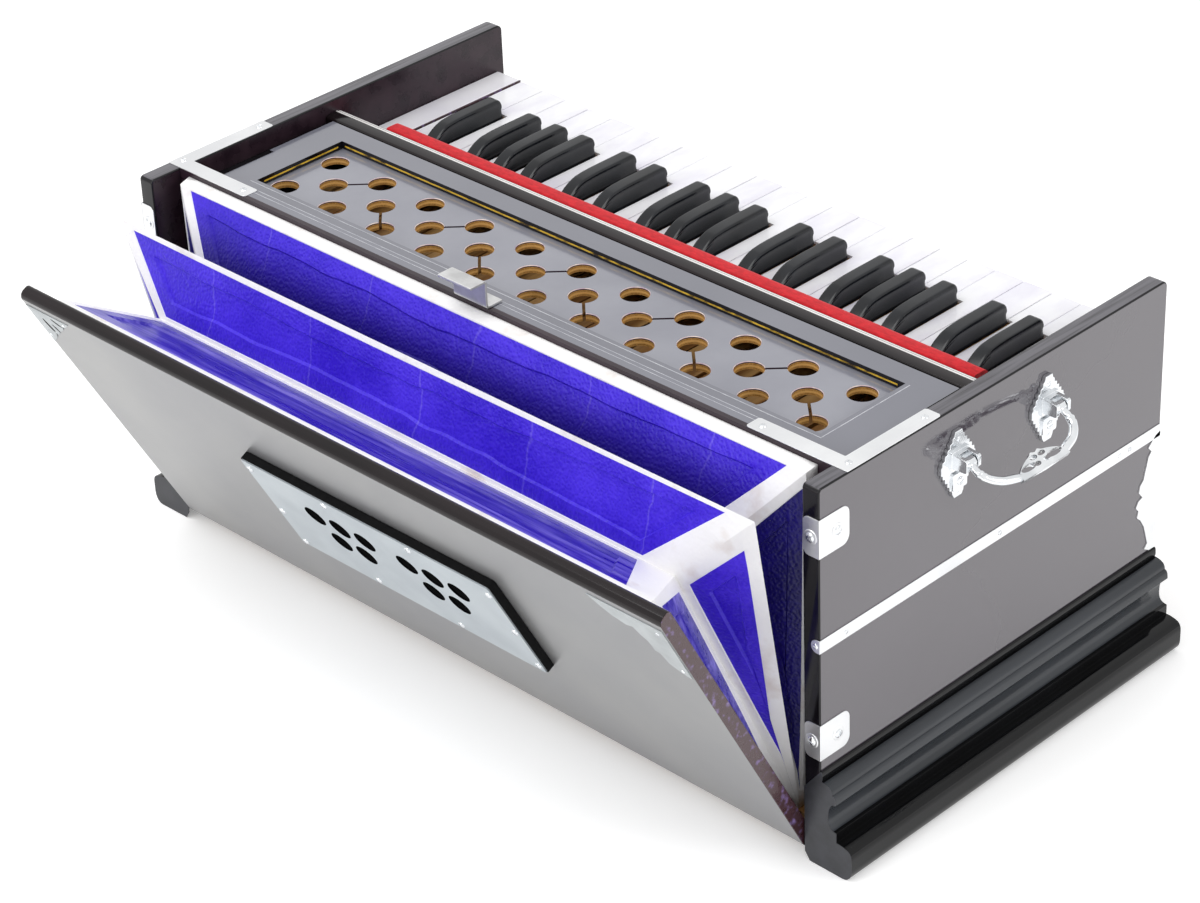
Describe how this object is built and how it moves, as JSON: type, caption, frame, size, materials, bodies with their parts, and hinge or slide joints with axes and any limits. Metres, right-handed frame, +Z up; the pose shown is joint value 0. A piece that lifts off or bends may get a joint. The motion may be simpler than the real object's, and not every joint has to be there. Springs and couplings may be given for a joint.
{
  "type": "indian harmonium",
  "caption": "Portable hand-pumped reed organ: a box with a keyboard and pull stops on one side, a pierced top and a swinging bellows at the back.",
  "frame": {"origin": "on the floor under the middle of the whole instrument with the bellows open", "axes": "+X towards the treble end, +Y from the player towards the bellows, +Z up"},
  "size_m": [0.6724, 0.438, 0.2853],
  "materials": {
    "case_laminate": "plywood with a dark brown laminate, semi-gloss",
    "cover_laminate": "plywood with a dark laminate, glossy",
    "black_gloss": "wood in gloss black paint",
    "bare_wood": "unfinished",
    "ivory_plastic": "polished",
    "ebony_plastic": "semi-gloss",
    "red_felt": "pressed wool felt",
    "bellows_cloth": "blue coated card panels with white leather tape",
    "bright_metal": "polished",
    "silver_laminate": "plywood with a silver-grey laminate, satin",
    "vent_sheet": "thin satin sheet on a black gasket",
    "knob_plastic": "polished"
  },
  "bodies": {
    "case": {"base": "black_gloss", "treble_side_panel": "case_laminate", "bass_side_panel": "case_laminate", "rear_wall": "case_laminate", "front_board": "case_laminate", "top_cover": "cover_laminate", "pierced_panel": "cover_laminate", "felt_strip": "red_felt", "rear_bracket": "bright_metal", "reed_board": "bare_wood", "bellows_cloth": "bellows_cloth"},
    "reservoir": {"reservoir_board": "bare_wood"},
    "bellows": {"bellows_board": "silver_laminate", "vent_plate": "vent_sheet"},
    "bass_handle": {"bass_handle": "bright_metal"},
    "treble_handle": {"treble_handle": "bright_metal"},
    "stop_1": {"stop_1": "knob_plastic"},
    "stop_2": {"stop_2": "knob_plastic"},
    "stop_3": {"stop_3": "knob_plastic"},
    "stop_4": {"stop_4": "knob_plastic"},
    "stop_5": {"stop_5": "knob_plastic"},
    "key_c3": {"key_c3": "ivory_plastic"},
    "key_csharp3": {"key_csharp3": "ebony_plastic"},
    "key_d3": {"key_d3": "ivory_plastic"},
    "key_dsharp3": {"key_dsharp3": "ebony_plastic"},
    "key_e3": {"key_e3": "ivory_plastic"},
    "key_f3": {"key_f3": "ivory_plastic"},
    "key_fsharp3": {"key_fsharp3": "ebony_plastic"},
    "key_g3": {"key_g3": "ivory_plastic"},
    "key_gsharp3": {"key_gsharp3": "ebony_plastic"},
    "key_a3": {"key_a3": "ivory_plastic"},
    "key_asharp3": {"key_asharp3": "ebony_plastic"},
    "key_b3": {"key_b3": "ivory_plastic"},
    "key_c4": {"key_c4": "ivory_plastic"},
    "key_csharp4": {"key_csharp4": "ebony_plastic"},
    "key_d4": {"key_d4": "ivory_plastic"},
    "key_dsharp4": {"key_dsharp4": "ebony_plastic"},
    "key_e4": {"key_e4": "ivory_plastic"},
    "key_f4": {"key_f4": "ivory_plastic"},
    "key_fsharp4": {"key_fsharp4": "ebony_plastic"},
    "key_g4": {"key_g4": "ivory_plastic"},
    "key_gsharp4": {"key_gsharp4": "ebony_plastic"},
    "key_a4": {"key_a4": "ivory_plastic"},
    "key_asharp4": {"key_asharp4": "ebony_plastic"},
    "key_b4": {"key_b4": "ivory_plastic"},
    "key_c5": {"key_c5": "ivory_plastic"},
    "key_csharp5": {"key_csharp5": "ebony_plastic"},
    "key_d5": {"key_d5": "ivory_plastic"},
    "key_dsharp5": {"key_dsharp5": "ebony_plastic"},
    "key_e5": {"key_e5": "ivory_plastic"},
    "key_f5": {"key_f5": "ivory_plastic"},
    "key_fsharp5": {"key_fsharp5": "ebony_plastic"},
    "key_g5": {"key_g5": "ivory_plastic"},
    "key_gsharp5": {"key_gsharp5": "ebony_plastic"},
    "key_a5": {"key_a5": "ivory_plastic"},
    "key_asharp5": {"key_asharp5": "ebony_plastic"},
    "key_b5": {"key_b5": "ivory_plastic"},
    "key_c6": {"key_c6": "ivory_plastic"},
    "key_csharp6": {"key_csharp6": "ebony_plastic"},
    "key_d6": {"key_d6": "ivory_plastic"}
  },
  "joints": [
    {"name": "reservoir_drop", "type": "hinge", "parent": "case", "child": "reservoir", "pos_m": [0, -0.15248, 0.1892], "axis": [-1, 0, 0], "range_deg": [0, 10], "stiffness_Nm_per_rad": 8, "springref_deg": -28.65},
    {"name": "bellows_swing", "type": "hinge", "parent": "case", "child": "bellows", "pos_m": [0, 0.09302, 0.012], "axis": [1, 0, 0], "range_deg": [0, 28], "deforming": ["bellows_cloth"]},
    {"name": "bass_handle_lift", "type": "hinge", "parent": "case", "child": "bass_handle", "pos_m": [-0.311, -0.05748, 0.2325], "axis": [0, 1, 0], "range_deg": [0, 90]},
    {"name": "treble_handle_lift", "type": "hinge", "parent": "case", "child": "treble_handle", "pos_m": [0.311, -0.05748, 0.2325], "axis": [0, -1, 0], "range_deg": [0, 90]},
    {"name": "stop_1_pull", "type": "slide", "parent": "case", "child": "stop_1", "axis": [0, -1, 0], "range_m": [0, 0.025]},
    {"name": "stop_2_pull", "type": "slide", "parent": "case", "child": "stop_2", "axis": [0, -1, 0], "range_m": [0, 0.025]},
    {"name": "stop_3_pull", "type": "slide", "parent": "case", "child": "stop_3", "axis": [0, -1, 0], "range_m": [0, 0.025]},
    {"name": "stop_4_pull", "type": "slide", "parent": "case", "child": "stop_4", "axis": [0, -1, 0], "range_m": [0, 0.025]},
    {"name": "stop_5_pull", "type": "slide", "parent": "case", "child": "stop_5", "axis": [0, -1, 0], "range_m": [0, 0.025]},
    {"name": "key_c3_rock", "type": "hinge", "parent": "case", "child": "key_c3", "pos_m": [-0.2569, -0.06748, 0.2115], "axis": [1, 0, 0], "range_deg": [0, 2.17], "stiffness_Nm_per_rad": 0.25, "springref_deg": -20.05},
    {"name": "key_csharp3_rock", "type": "hinge", "parent": "case", "child": "key_csharp3", "pos_m": [-0.24345, -0.06748, 0.2115], "axis": [1, 0, 0], "range_deg": [0, 2.17], "stiffness_Nm_per_rad": 0.25, "springref_deg": -20.05},
    {"name": "key_d3_rock", "type": "hinge", "parent": "case", "child": "key_d3", "pos_m": [-0.229, -0.06748, 0.2115], "axis": [1, 0, 0], "range_deg": [0, 2.17], "stiffness_Nm_per_rad": 0.25, "springref_deg": -20.05},
    {"name": "key_dsharp3_rock", "type": "hinge", "parent": "case", "child": "key_dsharp3", "pos_m": [-0.21455, -0.06748, 0.2115], "axis": [1, 0, 0], "range_deg": [0, 2.17], "stiffness_Nm_per_rad": 0.25, "springref_deg": -20.05},
    {"name": "key_e3_rock", "type": "hinge", "parent": "case", "child": "key_e3", "pos_m": [-0.2011, -0.06748, 0.2115], "axis": [1, 0, 0], "range_deg": [0, 2.17], "stiffness_Nm_per_rad": 0.25, "springref_deg": -20.05},
    {"name": "key_f3_rock", "type": "hinge", "parent": "case", "child": "key_f3", "pos_m": [-0.1882, -0.06748, 0.2115], "axis": [1, 0, 0], "range_deg": [0, 2.17], "stiffness_Nm_per_rad": 0.25, "springref_deg": -20.05},
    {"name": "key_fsharp3_rock", "type": "hinge", "parent": "case", "child": "key_fsharp3", "pos_m": [-0.17475, -0.06748, 0.2115], "axis": [1, 0, 0], "range_deg": [0, 2.17], "stiffness_Nm_per_rad": 0.25, "springref_deg": -20.05},
    {"name": "key_g3_rock", "type": "hinge", "parent": "case", "child": "key_g3", "pos_m": [-0.1618, -0.06748, 0.2115], "axis": [1, 0, 0], "range_deg": [0, 2.17], "stiffness_Nm_per_rad": 0.25, "springref_deg": -20.05},
    {"name": "key_gsharp3_rock", "type": "hinge", "parent": "case", "child": "key_gsharp3", "pos_m": [-0.14885, -0.06748, 0.2115], "axis": [1, 0, 0], "range_deg": [0, 2.17], "stiffness_Nm_per_rad": 0.25, "springref_deg": -20.05},
    {"name": "key_a3_rock", "type": "hinge", "parent": "case", "child": "key_a3", "pos_m": [-0.1359, -0.06748, 0.2115], "axis": [1, 0, 0], "range_deg": [0, 2.17], "stiffness_Nm_per_rad": 0.25, "springref_deg": -20.05},
    {"name": "key_asharp3_rock", "type": "hinge", "parent": "case", "child": "key_asharp3", "pos_m": [-0.12295, -0.06748, 0.2115], "axis": [1, 0, 0], "range_deg": [0, 2.17], "stiffness_Nm_per_rad": 0.25, "springref_deg": -20.05},
    {"name": "key_b3_rock", "type": "hinge", "parent": "case", "child": "key_b3", "pos_m": [-0.1095, -0.06748, 0.2115], "axis": [1, 0, 0], "range_deg": [0, 2.17], "stiffness_Nm_per_rad": 0.25, "springref_deg": -20.05},
    {"name": "key_c4_rock", "type": "hinge", "parent": "case", "child": "key_c4", "pos_m": [-0.0966, -0.06748, 0.2115], "axis": [1, 0, 0], "range_deg": [0, 2.17], "stiffness_Nm_per_rad": 0.25, "springref_deg": -20.05},
    {"name": "key_csharp4_rock", "type": "hinge", "parent": "case", "child": "key_csharp4", "pos_m": [-0.08315, -0.06748, 0.2115], "axis": [1, 0, 0], "range_deg": [0, 2.17], "stiffness_Nm_per_rad": 0.25, "springref_deg": -20.05},
    {"name": "key_d4_rock", "type": "hinge", "parent": "case", "child": "key_d4", "pos_m": [-0.0687, -0.06748, 0.2115], "axis": [1, 0, 0], "range_deg": [0, 2.17], "stiffness_Nm_per_rad": 0.25, "springref_deg": -20.05},
    {"name": "key_dsharp4_rock", "type": "hinge", "parent": "case", "child": "key_dsharp4", "pos_m": [-0.05425, -0.06748, 0.2115], "axis": [1, 0, 0], "range_deg": [0, 2.17], "stiffness_Nm_per_rad": 0.25, "springref_deg": -20.05},
    {"name": "key_e4_rock", "type": "hinge", "parent": "case", "child": "key_e4", "pos_m": [-0.0408, -0.06748, 0.2115], "axis": [1, 0, 0], "range_deg": [0, 2.17], "stiffness_Nm_per_rad": 0.25, "springref_deg": -20.05},
    {"name": "key_f4_rock", "type": "hinge", "parent": "case", "child": "key_f4", "pos_m": [-0.0279, -0.06748, 0.2115], "axis": [1, 0, 0], "range_deg": [0, 2.17], "stiffness_Nm_per_rad": 0.25, "springref_deg": -20.05},
    {"name": "key_fsharp4_rock", "type": "hinge", "parent": "case", "child": "key_fsharp4", "pos_m": [-0.01445, -0.06748, 0.2115], "axis": [1, 0, 0], "range_deg": [0, 2.17], "stiffness_Nm_per_rad": 0.25, "springref_deg": -20.05},
    {"name": "key_g4_rock", "type": "hinge", "parent": "case", "child": "key_g4", "pos_m": [-0.0015, -0.06748, 0.2115], "axis": [1, 0, 0], "range_deg": [0, 2.17], "stiffness_Nm_per_rad": 0.25, "springref_deg": -20.05},
    {"name": "key_gsharp4_rock", "type": "hinge", "parent": "case", "child": "key_gsharp4", "pos_m": [0.01145, -0.06748, 0.2115], "axis": [1, 0, 0], "range_deg": [0, 2.17], "stiffness_Nm_per_rad": 0.25, "springref_deg": -20.05},
    {"name": "key_a4_rock", "type": "hinge", "parent": "case", "child": "key_a4", "pos_m": [0.0244, -0.06748, 0.2115], "axis": [1, 0, 0], "range_deg": [0, 2.17], "stiffness_Nm_per_rad": 0.25, "springref_deg": -20.05},
    {"name": "key_asharp4_rock", "type": "hinge", "parent": "case", "child": "key_asharp4", "pos_m": [0.03735, -0.06748, 0.2115], "axis": [1, 0, 0], "range_deg": [0, 2.17], "stiffness_Nm_per_rad": 0.25, "springref_deg": -20.05},
    {"name": "key_b4_rock", "type": "hinge", "parent": "case", "child": "key_b4", "pos_m": [0.0508, -0.06748, 0.2115], "axis": [1, 0, 0], "range_deg": [0, 2.17], "stiffness_Nm_per_rad": 0.25, "springref_deg": -20.05},
    {"name": "key_c5_rock", "type": "hinge", "parent": "case", "child": "key_c5", "pos_m": [0.0637, -0.06748, 0.2115], "axis": [1, 0, 0], "range_deg": [0, 2.17], "stiffness_Nm_per_rad": 0.25, "springref_deg": -20.05},
    {"name": "key_csharp5_rock", "type": "hinge", "parent": "case", "child": "key_csharp5", "pos_m": [0.07715, -0.06748, 0.2115], "axis": [1, 0, 0], "range_deg": [0, 2.17], "stiffness_Nm_per_rad": 0.25, "springref_deg": -20.05},
    {"name": "key_d5_rock", "type": "hinge", "parent": "case", "child": "key_d5", "pos_m": [0.0916, -0.06748, 0.2115], "axis": [1, 0, 0], "range_deg": [0, 2.17], "stiffness_Nm_per_rad": 0.25, "springref_deg": -20.05},
    {"name": "key_dsharp5_rock", "type": "hinge", "parent": "case", "child": "key_dsharp5", "pos_m": [0.10605, -0.06748, 0.2115], "axis": [1, 0, 0], "range_deg": [0, 2.17], "stiffness_Nm_per_rad": 0.25, "springref_deg": -20.05},
    {"name": "key_e5_rock", "type": "hinge", "parent": "case", "child": "key_e5", "pos_m": [0.1195, -0.06748, 0.2115], "axis": [1, 0, 0], "range_deg": [0, 2.17], "stiffness_Nm_per_rad": 0.25, "springref_deg": -20.05},
    {"name": "key_f5_rock", "type": "hinge", "parent": "case", "child": "key_f5", "pos_m": [0.1324, -0.06748, 0.2115], "axis": [1, 0, 0], "range_deg": [0, 2.17], "stiffness_Nm_per_rad": 0.25, "springref_deg": -20.05},
    {"name": "key_fsharp5_rock", "type": "hinge", "parent": "case", "child": "key_fsharp5", "pos_m": [0.14585, -0.06748, 0.2115], "axis": [1, 0, 0], "range_deg": [0, 2.17], "stiffness_Nm_per_rad": 0.25, "springref_deg": -20.05},
    {"name": "key_g5_rock", "type": "hinge", "parent": "case", "child": "key_g5", "pos_m": [0.1588, -0.06748, 0.2115], "axis": [1, 0, 0], "range_deg": [0, 2.17], "stiffness_Nm_per_rad": 0.25, "springref_deg": -20.05},
    {"name": "key_gsharp5_rock", "type": "hinge", "parent": "case", "child": "key_gsharp5", "pos_m": [0.17175, -0.06748, 0.2115], "axis": [1, 0, 0], "range_deg": [0, 2.17], "stiffness_Nm_per_rad": 0.25, "springref_deg": -20.05},
    {"name": "key_a5_rock", "type": "hinge", "parent": "case", "child": "key_a5", "pos_m": [0.1847, -0.06748, 0.2115], "axis": [1, 0, 0], "range_deg": [0, 2.17], "stiffness_Nm_per_rad": 0.25, "springref_deg": -20.05},
    {"name": "key_asharp5_rock", "type": "hinge", "parent": "case", "child": "key_asharp5", "pos_m": [0.19765, -0.06748, 0.2115], "axis": [1, 0, 0], "range_deg": [0, 2.17], "stiffness_Nm_per_rad": 0.25, "springref_deg": -20.05},
    {"name": "key_b5_rock", "type": "hinge", "parent": "case", "child": "key_b5", "pos_m": [0.2111, -0.06748, 0.2115], "axis": [1, 0, 0], "range_deg": [0, 2.17], "stiffness_Nm_per_rad": 0.25, "springref_deg": -20.05},
    {"name": "key_c6_rock", "type": "hinge", "parent": "case", "child": "key_c6", "pos_m": [0.224, -0.06748, 0.2115], "axis": [1, 0, 0], "range_deg": [0, 2.17], "stiffness_Nm_per_rad": 0.25, "springref_deg": -20.05},
    {"name": "key_csharp6_rock", "type": "hinge", "parent": "case", "child": "key_csharp6", "pos_m": [0.23745, -0.06748, 0.2115], "axis": [1, 0, 0], "range_deg": [0, 2.17], "stiffness_Nm_per_rad": 0.25, "springref_deg": -20.05},
    {"name": "key_d6_rock", "type": "hinge", "parent": "case", "child": "key_d6", "pos_m": [0.2539, -0.06748, 0.2115], "axis": [1, 0, 0], "range_deg": [0, 2.17], "stiffness_Nm_per_rad": 0.25, "springref_deg": -20.05}
  ]
}
